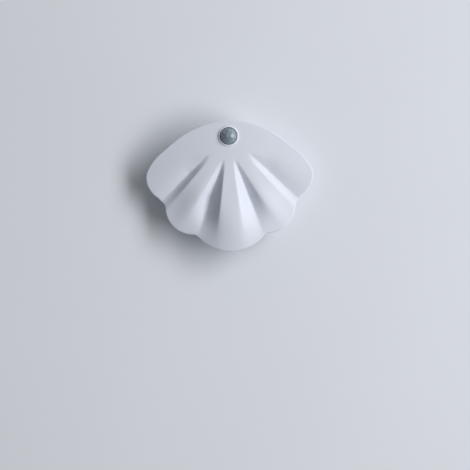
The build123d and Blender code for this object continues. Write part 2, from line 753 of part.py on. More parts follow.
def ease(value, low, high):
    """A smooth step from 0 at low to 1 at high."""
    share = min(max((value - low) / (high - low), 0), 1)
    return share * share * (3 - 2 * share)


def crown_height(x, z):
    """The crown's height from the wall, before the grooves are cut."""
    below = SENSOR_Z - z
    reach = hypot(x, below)
    angle = degrees(atan2(abs(x), below))
    base = PLATEAU_H - WING_DROP * (x / WING_TIP[0]) ** 2
    base -= BOTTOM_DROP * (max(below, 0) / BOTTOM_REACH) ** 2
    swell = sin(pi * min(max((reach - FAN_START) / (FAN_END - FAN_START), 0), 1)) ** 2
    near_rim = ease(reach, RIM_FADE_START, RIM_FADE_END)
    centre = 1 - CENTRE_ARCH * min(angle / CENTRE_EDGE, 1) ** 2 * near_rim
    side = SIDE_LEVEL * (1 - SIDE_FADE * near_rim)
    side_low = side * (1 - SIDE_TILT)
    level = centre - (centre - side) * ease(angle, CENTRE_EDGE, SIDE_INNER_EDGE)
    level -= (side - side_low) * ease(angle, SIDE_INNER_EDGE, SIDE_OUTER_EDGE)
    level -= side_low * ease(angle, SIDE_OUTER_EDGE, WING_EDGE)
    return base + FAN_RISE * swell * level


def groove_section(groove, along):
    """The V of a groove at one place along its floor line: its plane, floor height and two slopes."""
    turn = radians(groove.angle)
    growth = max(along, 0)
    inner_w = groove.inner_width + growth * tan(radians(groove.inner_spread))
    outer_w = groove.outer_width + growth * tan(radians(groove.outer_spread))
    x = groove.start_x + along * sin(turn)
    z = SENSOR_Z - groove.start_drop - along * cos(turn)
    inner_h = crown_height(x - inner_w * cos(turn), z - inner_w * sin(turn))
    outer_h = crown_height(x + outer_w * cos(turn), z + outer_w * sin(turn))
    depth = groove.depth * min(along / groove.peak, 1) * (1 - ease(along, groove.peak, groove.end))
    floor_h = outer_h - depth
    inner_slope = max((inner_h - floor_h) / inner_w, LEAST_SLOPE)
    outer_slope = max(depth / outer_w, LEAST_SLOPE)
    plane = Plane(origin=(x, 0, z), x_dir=(cos(turn), 0, sin(turn)), z_dir=(sin(turn), 0, -cos(turn)))
    return plane, floor_h, (inner_w + GROOVE_ARM, inner_slope), (outer_w + GROOVE_ARM, outer_slope)


def groove_cutter(groove, drop):
    """A tapering V for the right-hand groove, moved towards the wall by the drop."""
    top_h = FRONT_LIMIT_H + GROOVE_ARM
    with BuildPart() as cutter:
        for along in groove.sections:
            plane, floor_h, (inner_x, inner_slope), (outer_x, outer_slope) = groove_section(groove, along)
            low = floor_h - drop
            with BuildSketch(plane) as vee:
                with BuildLine():
                    Polyline(
                        (0, low), (outer_x, low + outer_x * outer_slope), (outer_x, top_h),
                        (-inner_x, top_h), (-inner_x, low + inner_x * inner_slope), close=True,
                    )
                make_face()
                fillet(vee.vertices().sort_by(Axis.Y)[:1], GROOVE_FLOOR_R)
        loft(ruled=True)
    return cutter.part


def groove_cutters(drop):
    """All four grooves: two on the right and their mirror images."""
    cutters = [groove_cutter(groove, drop) for groove in (INNER_GROOVE, OUTER_GROOVE)]
    return cutters + [cutter.mirror(Plane.YZ) for cutter in cutters]


def spread(low, high, step):
    """Evenly spaced values from low to high, about one step apart."""
    count = round((high - low) / step)
    return [low + (high - low) * index / count for index in range(count + 1)]


def from_sensor(point):
    """A point of the outline, measured from the sensor axis, as a place on the wall plane."""
    return (point[0], point[1] + SENSOR_Z)


side_x = WING_TIP[0] + SURFACE_MARGIN
top_z = SENSOR_Z + TOP_RISE + SURFACE_MARGIN
low_z = SENSOR_Z - BOTTOM_REACH - SURFACE_MARGIN
crown_points = [
    [(x, -crown_height(x, z), z) for z in spread(low_z, top_z, SURFACE_STEP)]
    for x in spread(-side_x, side_x, SURFACE_STEP)
]
crown = Face.make_surface_from_array_of_points(crown_points, tol=0.02)

with BuildPart() as shell_hollow:
    extrude(crown.moved(Location((0, SHELL_WALL, 0))), amount=2 * FRONT_LIMIT_H, dir=(0, 1, 0))
    add(groove_cutters(GROOVE_WALL), mode=Mode.SUBTRACT)

mid_wall = crown.moved(Location((0, SHELL_WALL / 2, 0)))
tube_r = LENS_FLANGE_R + SENSOR_TUBE_GAP
with BuildPart() as boss_stock:
    with BuildSketch(wall_plane(POD_FRONT_H)):
        with Locations(*SCREW_POINTS):
            Circle(BOSS_R)
        with Locations((0, SENSOR_Z)):
            Circle(tube_r + SENSOR_TUBE_T)
            Circle(tube_r, mode=Mode.SUBTRACT)
    extrude(amount=FRONT_LIMIT_H - POD_FRONT_H)
    extrude(mid_wall, amount=2 * FRONT_LIMIT_H, dir=(0, 1, 0), mode=Mode.INTERSECT)

with BuildPart() as front_shell:
    with BuildSketch(wall_plane(0)) as shell_outline:
        with BuildLine():
            Spline(
                *[from_sensor(point) for point in ((0, TOP_RISE), BROW, SHOULDER, FLANK, WING, WING_TIP)],
                tangents=((1, 0), (0, -1)),
            )
            TangentArc(from_sensor(WING_TIP), from_sensor(WING_HEEL), tangent=(0, -1))
            Line(from_sensor(WING_HEEL), from_sensor(OUTER_NOTCH))
            ThreePointArc(from_sensor(OUTER_NOTCH), from_sensor(SIDE_LOBE), from_sensor(INNER_NOTCH))
            ThreePointArc(from_sensor(INNER_NOTCH), from_sensor(CENTRE_LOBE), from_sensor((0, -BOTTOM_REACH)))
            mirror(about=Plane.YZ)
        make_face()
        for side in (-1, 1):
            for notch in (OUTER_NOTCH, INNER_NOTCH):
                corner = from_sensor((side * notch[0], notch[1]))
                fillet(shell_outline.vertices().sort_by_distance(corner)[:1], NOTCH_R)
    extrude(amount=FRONT_LIMIT_H)
    extrude(crown, amount=2 * FRONT_LIMIT_H, dir=(0, 1, 0), mode=Mode.INTERSECT)
    add(groove_cutters(0), mode=Mode.SUBTRACT)
    add(shell_hollow.part, mode=Mode.SUBTRACT)
    add(boss_stock.part)
    with BuildSketch(wall_plane(POD_FRONT_H)):
        with Locations(*SCREW_POINTS):
            Circle(SCREW_R + PILOT_GAP)
    extrude(amount=SCREW_GRIP + SCREW_GAP, mode=Mode.SUBTRACT)
    with BuildSketch(wall_plane(BEZEL_SEAT_H)):
        with Locations((0, SENSOR_Z)):
            Circle(BEZEL_R + FIT_GAP)
    extrude(amount=FRONT_LIMIT_H - BEZEL_SEAT_H, mode=Mode.SUBTRACT)
    with BuildSketch(wall_plane(POD_FRONT_H)):
        with Locations((0, SENSOR_Z)):
            Circle(bezel_inner_r + BEZEL_T + FIT_GAP / 2)
    extrude(amount=FRONT_LIMIT_H - POD_FRONT_H, mode=Mode.SUBTRACT)
save(front_shell.part, "front_shell")
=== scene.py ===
"""Looks of the scallop-shaped motion sensor wall light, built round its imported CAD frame."""

from math import atan2, cos, degrees, hypot, pi, radians, sin, sqrt, tan

import bpy
from mathutils import Matrix, Vector


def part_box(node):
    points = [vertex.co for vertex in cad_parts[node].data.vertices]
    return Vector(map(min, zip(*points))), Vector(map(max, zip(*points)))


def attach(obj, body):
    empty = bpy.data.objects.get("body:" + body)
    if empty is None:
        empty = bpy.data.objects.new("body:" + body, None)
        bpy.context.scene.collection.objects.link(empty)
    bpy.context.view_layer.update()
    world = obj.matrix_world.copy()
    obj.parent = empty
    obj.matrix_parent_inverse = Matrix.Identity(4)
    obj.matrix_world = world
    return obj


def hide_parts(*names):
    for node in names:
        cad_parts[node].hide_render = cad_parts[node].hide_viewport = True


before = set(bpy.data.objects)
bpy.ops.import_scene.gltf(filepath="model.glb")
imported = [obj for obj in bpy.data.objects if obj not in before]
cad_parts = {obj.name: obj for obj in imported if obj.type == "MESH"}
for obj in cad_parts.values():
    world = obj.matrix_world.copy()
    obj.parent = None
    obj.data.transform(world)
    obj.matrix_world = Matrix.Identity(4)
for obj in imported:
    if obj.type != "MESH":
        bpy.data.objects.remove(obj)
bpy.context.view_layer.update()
scene = bpy.context.scene

# Sizes of the object are in millimetres and become metres where a mesh is made. A height is a
# distance out from the wall, which is the plane Y = 0. The light faces -Y.
MM = 0.001
SENSOR_Z = 30.0

# Outline of the front shell, measured from the sensor axis
TOP = (0.0, 11.1)
BROW = (14.6, 9.2)
SHOULDER = (28.5, 3.9)
FLANK = (45.2, -7.9)
WING = (54.6, -16.6)
WING_TIP = (60.0, -28.0)
WING_HEEL = (52.0, -42.4)
OUTER_NOTCH = (46.6, -48.4)
SIDE_LOBE = (42.2, -62.3)
INNER_NOTCH = (25.2, -69.4)
CENTRE_LOBE = (14.5, -78.4)
BOTTOM = (0.0, -82.4)
NOTCH_TRIM = 2.2

# Relief of the front shell: the flat top round the sensor, how far the wings and the lower edge
# fall back from it, and the fan of lobes that swells below the sensor and fades towards the rim
PLATEAU_H = 25.0
CREST_R = 40.0
WING_DROP = 5.6
WING_TWIST = 1.2
TWIST_END = 45.0
BOTTOM_DROP = 5.0
FAN_RISE = 6.4
FAN_START = 14.0
FAN_END = 96.0
SIDE_LEVEL = 0.38
SIDE_FADE = 0.3
RIM_FADE_START = 40.0
RIM_FADE_END = 72.0
SIDE_TILT = 0.5
RIM_TILT_GROWTH = 2.0
CENTRE_ARCH = 0.14
# Where the lobes begin and end, in degrees either side of straight down from the sensor
CENTRE_EDGE = 8.8
SIDE_INNER_EDGE = 27.0
SIDE_OUTER_EDGE = 41.5
WING_EDGE = 59.0

# Wall of the front shell, the rounds of its rim and the hole for the sensor
SHELL_WALL = 2.2
RIM_R = 0.7
INNER_RIM_R = 0.4
HOLE_R = 6.85

# Grooves: where the floor line starts and its direction from straight down; the widths of the two
# flanks at the start, the angles by which they spread and the bulge of the outer one; the depth
# below the outer ridge, and how far along the floor line it is full and is gone; and how softly the
# floor and the two ridges are rounded
INNER_GROOVE = dict(
    start=(4.2, 17.5), angle=20.0,
    inner_width=1.4, inner_spread=11.8, outer_width=1.5, outer_spread=10.0, bulge=0.0,
    depth=5.5, peak=28.0, end=56.0,
    floor_r=0.5, inner_r=0.35, outer_r=0.6,
)
OUTER_GROOVE = dict(
    start=(15.7, 13.6), angle=45.8,
    inner_width=2.9, inner_spread=2.2, outer_width=6.6, outer_spread=9.2, bulge=0.5,
    depth=2.9, peak=17.0, end=110.0,
    floor_r=0.6, inner_r=0.5, outer_r=0.8,
)
# How far a groove runs on above its start, and the least slope of its flanks near the start
GROOVE_LEAD = 10.0
LEAST_SLOPE = 0.2
# The rounding starts at this share, and a ridge gains a whole share over this length
ROUND_START = 0.5
RIDGE_GROWTH = 30.0
# The share of its rounding by which a groove's floor is let down
FLOOR_SINK = 0.6

# Bosses behind the shell for the long screws
BOSS_R = 3.0
BOSS_HOLE_R = 1.03
BOSS_HOLE_DEPTH = 5.4
UPPER_BOSS_X = 9.0
SCREW_HEAD_R = 2.0

# Tube behind the shell round the sensor
TUBE_R = 9.3
TUBE_HOLE_R = 7.9

# Fineness of the meshes, and the angle from which an edge is shaded as sharp
CURVE_STEPS = 40
COLUMNS = 640
OUTER_ROWS = 110
INNER_ROWS = 36
RIM_STEPS = 5
CORNER_STEPS = 12
POST_SIDES = 64
SHARP_ANGLE = 40.0

# Materials: the depth of the grain in metres, the layers of noise in grain and tone, the noise
# levels of the darkest and lightest tone, and the tracks of a circuit board with the patches between
GRAIN_DEPTH = 0.0002
GRAIN_DETAIL = 4.0
TONE_DETAIL = 3.0
TONE_EDGES = (0.3, 0.7)
TRACK_SCALE = 260.0
TRACK_WIDTH = 0.04
PATCH_SHADE = 0.9

# Wall, light and camera, in metres, degrees and watts, with the camera's lens in millimetres
KEY_ANGLE = 47.5
KEY_ELEVATION = 6.0
KEY_DISTANCE = 2.2
KEY_SIZE = (0.8, 2.8)
KEY_POWER = 47.5
WORLD_COLOUR = (0.95, 0.98, 1.0)
BRIGHT_SIDE = (0.85, 0.0, 0.53)
DIM_STRENGTH = 0.07
BRIGHT_STRENGTH = 0.38
BEHIND_STRENGTH = 0.8
WALL_SIZE = 4.0
WALL_GAP = 0.0002
WALL_COLOUR = (0.815, 0.846, 0.9)
CAMERA_PLACE = (0.00298, -0.8, -0.04045)
CAMERA_ROLL = -1.35
CAMERA_LENS = 83.5


def clamp(value):
    """The value, kept between 0 and 1."""
    return min(max(value, 0.0), 1.0)


def ease(value, low, high):
    """A smooth step from 0 at low to 1 at high."""
    share = clamp((value - low) / (high - low))
    return share * share * (3 - 2 * share)


def crown_height(x, z):
    """The shell's height from the wall without its grooves, for a point measured from the sensor."""
    below = -z
    reach = hypot(x, below)
    angle = degrees(atan2(abs(x), below))
    wing_share = (hypot(x, CREST_R) - CREST_R) / (hypot(WING_TIP[0], CREST_R) - CREST_R)
    base = PLATEAU_H - WING_DROP * wing_share
    base -= WING_TWIST * (x / WING_TIP[0]) ** 2 * ease(below, 0, TWIST_END)
    base -= BOTTOM_DROP * (max(below, 0) / -BOTTOM[1]) ** 2
    swell = sin(pi * clamp((reach - FAN_START) / (FAN_END - FAN_START))) ** 2
    near_rim = ease(reach, RIM_FADE_START, RIM_FADE_END)
    centre = 1 - CENTRE_ARCH * min(angle / CENTRE_EDGE, 1) ** 2 * near_rim
    side = SIDE_LEVEL * (1 - SIDE_FADE * near_rim)
    side_low = side * (1 - SIDE_TILT * (1 + RIM_TILT_GROWTH * near_rim))
    level = centre - (centre - side) * ease(angle, CENTRE_EDGE, SIDE_INNER_EDGE)
    level -= (side - side_low) * ease(angle, SIDE_INNER_EDGE, SIDE_OUTER_EDGE)
    level -= side_low * ease(angle, SIDE_OUTER_EDGE, WING_EDGE)
    return base + FAN_RISE * swell * level


def groove_height(
    x, z, start, angle, inner_width, inner_spread, outer_width, outer_spread,
    bulge, depth, peak, end, floor_r, inner_r, outer_r,
):
    """The height of a groove's two flanks, and how softly they meet the crown."""
    turn = radians(angle)
    from_start_x = abs(x) - start[0]
    from_start_z = -z - start[1]
    along = from_start_x * sin(turn) + from_start_z * cos(turn)
    across = from_start_x * cos(turn) - from_start_z * sin(turn)
    along = max(along, -GROOVE_LEAD)
    spread = max(along, 0)
    inner = inner_width + spread * tan(radians(inner_spread))
    outer = outer_width + spread * tan(radians(outer_spread))
    floor_x = start[0] + along * sin(turn)
    floor_z = -start[1] - along * cos(turn)
    inner_h = crown_height(floor_x - inner * cos(turn), floor_z - inner * sin(turn))
    outer_h = crown_height(floor_x + outer * cos(turn), floor_z + outer * sin(turn))
    floor_h = outer_h - depth * min(along / peak, 1) * (1 - ease(along, peak, end))
    slope = (outer_h - floor_h) / outer if across > 0 else (inner_h - floor_h) / inner
    slope = hypot(max(slope, 0), LEAST_SLOPE * (1 - ease(along, 0, peak)))
    softness = floor_r * (ROUND_START + spread / peak)
    distance = sqrt(across ** 2 + softness ** 2) - FLOOR_SINK * softness
    ridge_r = inner_r + (outer_r - inner_r) * ease(across, -inner, outer)
    if across > 0:
        distance *= 1 + bulge * (1 - min(distance / outer, 1))
    return floor_h + slope * distance, ridge_r * (ROUND_START + spread / RIDGE_GROWTH)


def shell_height(x, z):
    """The finished front surface's height from the wall."""
    height = crown_height(x, z)
    for groove in (INNER_GROOVE, OUTER_GROOVE):
        flank, softness = groove_height(x, z, **groove)
        height = (height + flank - sqrt((height - flank) ** 2 + softness ** 2)) / 2
    return height


def smooth_run(points, first_tangent, last_tangent):
    """A curve through points, with the given directions at its ends."""
    points = [Vector(point) for point in points]
    lengths = [(b - a).length for a, b in zip(points, points[1:])]
    slopes = [Vector(first_tangent)]
    for index in range(1, len(points) - 1):
        before = (points[index] - points[index - 1]) / lengths[index - 1]
        after = (points[index + 1] - points[index]) / lengths[index]
        share = lengths[index - 1] / (lengths[index - 1] + lengths[index])
        slopes.append(before.lerp(after, share))
    slopes.append(Vector(last_tangent))
    run = []
    for index, length in enumerate(lengths):
        for step in range(CURVE_STEPS):
            t = step / CURVE_STEPS
            along = points[index] * (1 + 2 * t) * (1 - t) ** 2 + points[index + 1] * t * t * (3 - 2 * t)
            bend = slopes[index] * t * (1 - t) ** 2 - slopes[index + 1] * t * t * (1 - t)
            run.append(along + bend * length)
    return run


def arc_through(start, middle, end):
    """Points of the arc from start through middle, up to but not including end."""
    (ax, az), (bx, bz), (cx, cz) = start, middle, end
    divisor = 2 * (ax * (bz - cz) + bx * (cz - az) + cx * (az - bz))
    a_square = ax * ax + az * az
    b_square = bx * bx + bz * bz
    c_square = cx * cx + cz * cz
    centre = Vector((
        (a_square * (bz - cz) + b_square * (cz - az) + c_square * (az - bz)) / divisor,
        (a_square * (cx - bx) + b_square * (ax - cx) + c_square * (bx - ax)) / divisor,
    ))
    first = Vector(start) - centre
    angle = first.angle_signed(Vector(end) - centre)
    return [
        centre + Matrix.Rotation(-angle * step / CURVE_STEPS, 2) @ first
        for step in range(CURVE_STEPS)
    ]


def soften_corner(run, corner):
    """Rounds the corner of a closed run of points by a short curve between its two sides."""
    corner = Vector(corner)
    near = [index for index, point in enumerate(run) if (point - corner).length < NOTCH_TRIM]
    before, after = run[near[0] - 1], run[(near[-1] + 1) % len(run)]
    curve = []
    for step in range(1, CORNER_STEPS):
        t = step / CORNER_STEPS
        curve.append(before * (1 - t) ** 2 + corner * 2 * t * (1 - t) + after * t * t)
    return run[:near[0]] + curve + run[near[-1] + 1:]


def shell_outline():
    """The closed outline from the sensor, clockwise from the top, as evenly spaced points."""
    heel_drop = WING_TIP[1] - WING_HEEL[1]
    heel_in = WING_TIP[0] - WING_HEEL[0]
    heel_r = (heel_in ** 2 + heel_drop ** 2) / (2 * heel_in)
    heel_turn = atan2(heel_drop, WING_HEEL[0] - WING_TIP[0] + heel_r)
    heel_centre = Vector((WING_TIP[0] - heel_r, WING_TIP[1]))
    half = smooth_run([TOP, BROW, SHOULDER, FLANK, WING, WING_TIP], (1, 0), (0, -1))
    for step in range(CURVE_STEPS):
        turn = heel_turn * step / CURVE_STEPS
        half.append(heel_centre + Vector((cos(turn), -sin(turn))) * heel_r)
    for step in range(CURVE_STEPS):
        half.append(Vector(WING_HEEL).lerp(Vector(OUTER_NOTCH), step / CURVE_STEPS))
    half += arc_through(OUTER_NOTCH, SIDE_LOBE, INNER_NOTCH)
    half += arc_through(INNER_NOTCH, CENTRE_LOBE, BOTTOM)
    run = half + [Vector(BOTTOM)] + [Vector((-point.x, point.y)) for point in reversed(half[1:])]
    for notch in (OUTER_NOTCH, INNER_NOTCH):
        run = soften_corner(run, notch)
        run = soften_corner(run, (-notch[0], notch[1]))
    return even_points(run, COLUMNS)


def even_points(run, count):
    """The closed run of points, resampled at equal distances."""
    closed = run + [run[0]]
    lengths = [0.0]
    for a, b in zip(closed, closed[1:]):
        lengths.append(lengths[-1] + (b - a).length)
    points = []
    index = 0
    for step in range(count):
        target = lengths[-1] * step / count
        while lengths[index + 1] < target:
            index += 1
        share = (target - lengths[index]) / (lengths[index + 1] - lengths[index])
        points.append(closed[index].lerp(closed[index + 1], share))
    return points


def place(x, height, z):
    """A point measured from the sensor axis, in metres in the row frame."""
    return (x * MM, -height * MM, (z + SENSOR_Z) * MM)


def add_piece(name, vertices, faces, material, smooth=True):
    """A new mesh object with one material."""
    mesh = bpy.data.meshes.new(name)
    mesh.from_pydata(vertices, [], faces)
    mesh.validate()
    mesh.update()
    for polygon in mesh.polygons:
        polygon.use_smooth = smooth
    mesh.materials.append(material)
    piece = bpy.data.objects.new(name, mesh)
    scene.collection.objects.link(piece)
    return piece


def ring_faces(rings, columns, closed):
    """Quads between rings of vertices that each have the same number of columns."""
    faces = []
    pairs = [(row, row + 1) for row in range(rings - 1)]
    if closed:
        pairs.append((rings - 1, 0))
    for a, b in pairs:
        for column in range(columns):
            beside = (column + 1) % columns
            near, far = a * columns, b * columns
            faces.append((near + column, near + beside, far + beside, far + column))
    return faces


def surface_ring(spots, drop):
    """Vertices at the spots, measured from the sensor axis, a drop below the front surface."""
    return [place(spot.x, shell_height(spot.x, spot.y) - drop, spot.y) for spot in spots]


def build_shell(material):
    """The front shell: front surface, rounded rim, rear surface and the wall of the sensor hole."""
    outline = shell_outline()
    normals = []
    for index in range(COLUMNS):
        along = outline[(index + 1) % COLUMNS] - outline[index - 1]
        normals.append(Vector((-along.y, along.x)).normalized())

    def inset(distance):
        return [point - normal * distance for point, normal in zip(outline, normals)]

    hole = [point.normalized() * HOLE_R for point in outline]
    front_edge = inset(RIM_R)
    rear_edge = inset(INNER_RIM_R)
    quarter = [radians(90 * step / RIM_STEPS) for step in range(RIM_STEPS + 1)]
    rows = []
    # Front surface from the hole to the start of the rim
    for row in range(OUTER_ROWS + 1):
        share = row / OUTER_ROWS
        rows.append(surface_ring([a.lerp(b, share) for a, b in zip(hole, front_edge)], 0.0))
    # Rim: a larger round at the front edge and a smaller one at the rear edge
    for turn in quarter[1:]:
        rows.append(surface_ring(inset(RIM_R * (1 - sin(turn))), RIM_R * (1 - cos(turn))))
    for turn in quarter:
        drop = SHELL_WALL - INNER_RIM_R * (1 - sin(turn))
        rows.append(surface_ring(inset(INNER_RIM_R * (1 - cos(turn))), drop))
    # Rear surface back to the hole
    for row in range(1, INNER_ROWS + 1):
        share = row / INNER_ROWS
        rows.append(surface_ring([a.lerp(b, share) for a, b in zip(rear_edge, hole)], SHELL_WALL))
    vertices = [vertex for ring in rows for vertex in ring]
    return add_piece("shell_skin", vertices, ring_faces(len(rows), COLUMNS, True), material)


def build_post(name, x, z, radius, hole_r, hole_depth, rear_h, material):
    """A round post from the pod to the shell's wall. Without a hole depth, its hole goes through."""
    turns = [2 * pi * side / POST_SIDES for side in range(POST_SIDES)]
    sides = [(sin(turn), cos(turn)) for turn in turns]
    front_h = min(shell_height(x + radius * a, z + radius * b) for a, b in sides) - SHELL_WALL / 2
    through = hole_depth is None
    hole_h = front_h if through else rear_h + hole_depth
    profile = [(radius, front_h), (radius, rear_h), (hole_r, rear_h), (hole_r, hole_h)]
    vertices = [place(x + r * a, height, z + r * b) for r, height in profile for a, b in sides]
    faces = ring_faces(len(profile), POST_SIDES, through)
    if not through:
        last_ring = len(vertices) - POST_SIDES
        faces.append(tuple(range(POST_SIDES)))
        faces.append(tuple(reversed(range(last_ring, len(vertices)))))
    post = add_piece(name, vertices, faces, material)
    post.modifiers.new("sharp_edges", "EDGE_SPLIT").split_angle = radians(SHARP_ANGLE)
    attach(post, "lamp")


# Materials


def new_material(name):
    """A material with its node tree and its main shader."""
    material = bpy.data.materials.new(name)
    material.use_nodes = True
    tree = material.node_tree
    return material, tree, tree.nodes["Principled BSDF"]


def add_grain(tree, shader, scale, strength, stretch=(1, 1, 1)):
    """A fine bump in object space, with the grain's scale in waves per metre."""
    coords = tree.nodes.new("ShaderNodeTexCoord")
    mapping = tree.nodes.new("ShaderNodeMapping")
    mapping.inputs["Scale"].default_value = stretch
    noise = tree.nodes.new("ShaderNodeTexNoise")
    noise.inputs["Scale"].default_value = scale
    noise.inputs["Detail"].default_value = GRAIN_DETAIL
    bump = tree.nodes.new("ShaderNodeBump")
    bump.inputs["Strength"].default_value = strength
    bump.inputs["Distance"].default_value = GRAIN_DEPTH
    tree.links.new(coords.outputs["Object"], mapping.inputs["Vector"])
    tree.links.new(mapping.outputs["Vector"], noise.inputs["Vector"])
    tree.links.new(noise.outputs["Fac"], bump.inputs["Height"])
    tree.links.new(bump.outputs["Normal"], shader.inputs["Normal"])
    return mapping, noise


def add_tone(tree, shader, mapping, colour, spread, scale):
    """A slow change of colour over the surface, a little lighter and darker than the colour."""
    noise = tree.nodes.new("ShaderNodeTexNoise")
    noise.inputs["Scale"].default_value = scale
    noise.inputs["Detail"].default_value = TONE_DETAIL
    ramp = tree.nodes.new("ShaderNodeValToRGB")
    darker, lighter = ramp.color_ramp.elements
    darker.position, lighter.position = TONE_EDGES
    darker.color = (*[part * (1 - spread) for part in colour], 1)
    lighter.color = (*[min(part * (1 + spread), 1) for part in colour], 1)
    tree.links.new(mapping.outputs["Vector"], noise.inputs["Vector"])
    tree.links.new(noise.outputs["Fac"], ramp.inputs["Fac"])
    tree.links.new(ramp.outputs["Color"], shader.inputs["Base Color"])


def add_sheen_variation(tree, shader, noise, low, high):
    """Roughness between low and high, following the grain."""
    spread = tree.nodes.new("ShaderNodeMapRange")
    spread.inputs["To Min"].default_value = low
    spread.inputs["To Max"].default_value = high
    tree.links.new(noise.outputs["Fac"], spread.inputs["Value"])
    tree.links.new(spread.outputs["Result"], shader.inputs["Roughness"])


def plastic(name, colour, roughness, grain=4000.0, bump=0.06, tone=0.015, specular=0.35):
    """Moulded plastic with a fine grain."""
    material, tree, shader = new_material(name)
    shader.inputs["Specular IOR Level"].default_value = specular
    mapping, noise = add_grain(tree, shader, scale=grain, strength=bump)
    add_tone(tree, shader, mapping, colour, spread=tone, scale=60.0)
    add_sheen_variation(tree, shader, noise, low=roughness - 0.06, high=roughness + 0.06)
    return material


def metal(name, colour, roughness, stretch=(1, 1, 1), bump=0.05):
    """Bare metal, with its grain drawn out along an axis where stretch is small."""
    material, tree, shader = new_material(name)
    shader.inputs["Metallic"].default_value = 1.0
    mapping, noise = add_grain(tree, shader, scale=2500.0, strength=bump, stretch=stretch)
    add_tone(tree, shader, mapping, colour, spread=0.04, scale=300.0)
    add_sheen_variation(tree, shader, noise, low=roughness - 0.08, high=roughness + 0.08)
    return material


def circuit(name, mask, copper):
    """Solder mask over faint copper tracks."""
    material, tree, shader = new_material(name)
    shader.inputs["Roughness"].default_value = 0.35
    mapping, _ = add_grain(tree, shader, scale=1500.0, strength=0.05)
    tracks = tree.nodes.new("ShaderNodeTexBrick")
    tracks.inputs["Scale"].default_value = TRACK_SCALE
    tracks.inputs["Mortar Size"].default_value = TRACK_WIDTH
    tracks.inputs["Color1"].default_value = (*mask, 1)
    tracks.inputs["Color2"].default_value = (*[part * PATCH_SHADE for part in mask], 1)
    tracks.inputs["Mortar"].default_value = (*copper, 1)
    turned = tree.nodes.new("ShaderNodeMapping")
    turned.inputs["Rotation"].default_value = (radians(90), 0, 0)
    tree.links.new(mapping.outputs["Vector"], turned.inputs["Vector"])
    tree.links.new(turned.outputs["Vector"], tracks.inputs["Vector"])
    tree.links.new(tracks.outputs["Color"], shader.inputs["Base Color"])
    return material


def frosted(name, colour):
    """Milky plastic that lets light through."""
    material, tree, shader = new_material(name)
    shader.inputs["Subsurface Weight"].default_value = 0.6
    shader.inputs["Subsurface Radius"].default_value = (0.003, 0.003, 0.003)
    mapping, noise = add_grain(tree, shader, scale=5000.0, strength=0.08)
    add_tone(tree, shader, mapping, colour, spread=0.02, scale=80.0)
    add_sheen_variation(tree, shader, noise, low=0.45, high=0.6)
    return material


def smoked(name, colour):
    """Milky dark plastic of an infrared lens, which light enters a little."""
    material, tree, shader = new_material(name)
    shader.inputs["Specular IOR Level"].default_value = 0.5
    shader.inputs["Coat Weight"].default_value = 0.7
    shader.inputs["Coat Roughness"].default_value = 0.1
    shader.inputs["Subsurface Weight"].default_value = 0.3
    shader.inputs["Subsurface Scale"].default_value = 1.0
    shader.inputs["Subsurface Radius"].default_value = (0.0006, 0.0006, 0.0006)
    mapping, noise = add_grain(tree, shader, scale=1500.0, strength=0.1)
    add_tone(tree, shader, mapping, colour, spread=0.2, scale=350.0)
    add_sheen_variation(tree, shader, noise, low=0.2, high=0.28)
    return material


def clear(name, colour, roughness):
    """Nearly clear plastic of a light pipe."""
    material, tree, shader = new_material(name)
    shader.inputs["Transmission Weight"].default_value = 0.7
    mapping, noise = add_grain(tree, shader, scale=1200.0, strength=0.03)
    add_tone(tree, shader, mapping, colour, spread=0.02, scale=200.0)
    add_sheen_variation(tree, shader, noise, low=roughness, high=roughness + 0.05)
    return material


def wall_paint():
    """Pale wall paint. Seen from behind, the wall is left out, for the camera and for the light."""
    material, tree, shader = new_material("wall_paint")
    shader.inputs["Specular IOR Level"].default_value = 0.2
    mapping, noise = add_grain(tree, shader, scale=900.0, strength=0.05)
    add_tone(tree, shader, mapping, WALL_COLOUR, spread=0.012, scale=6.0)
    add_sheen_variation(tree, shader, noise, low=0.8, high=0.9)
    geometry = tree.nodes.new("ShaderNodeNewGeometry")
    path = tree.nodes.new("ShaderNodeLightPath")
    both = tree.nodes.new("ShaderNodeMath")
    both.operation = "MULTIPLY"
    behind = tree.nodes.new("ShaderNodeMath")
    behind.operation = "MAXIMUM"
    clear_side = tree.nodes.new("ShaderNodeBsdfTransparent")
    mix = tree.nodes.new("ShaderNodeMixShader")
    output = tree.nodes["Material Output"]
    tree.links.new(geometry.outputs["Backfacing"], both.inputs[0])
    tree.links.new(path.outputs["Is Camera Ray"], both.inputs[1])
    tree.links.new(both.outputs["Value"], behind.inputs[0])
    tree.links.new(path.outputs["Transparent Depth"], behind.inputs[1])
    tree.links.new(behind.outputs["Value"], mix.inputs["Fac"])
    tree.links.new(shader.outputs["BSDF"], mix.inputs[1])
    tree.links.new(clear_side.outputs["BSDF"], mix.inputs[2])
    tree.links.new(mix.outputs["Shader"], output.inputs["Surface"])
    return material


shell_white = plastic(
    "shell_white", (0.755, 0.785, 0.878), 0.55, grain=3500.0, bump=0.05, tone=0.008, specular=0.15,
)
cover_white = plastic("cover_white", (0.72, 0.735, 0.76), 0.5, grain=3000.0, bump=0.1)
black_plastic = plastic("black_plastic", (0.02, 0.02, 0.022), 0.45, bump=0.08)
cream_plastic = plastic("cream_plastic", (0.72, 0.67, 0.54), 0.45)
foam = plastic("foam_tape", (0.7, 0.7, 0.68), 0.8, grain=2500.0, bump=0.5)
phosphor = plastic("led_phosphor", (0.85, 0.7, 0.28), 0.4, bump=0.1)
knob_grey = plastic("knob_grey", (0.22, 0.235, 0.26), 0.5, bump=0.12)
red_wire = plastic("wire_red", (0.45, 0.02, 0.02), 0.5)
black_wire = plastic("wire_black", (0.015, 0.015, 0.015), 0.5)
cable_grey = plastic("cable_grey", (0.38, 0.39, 0.41), 0.5)
bezel_white = plastic("bezel_white", (0.84, 0.88, 0.95), 0.28, bump=0.02, specular=0.5)
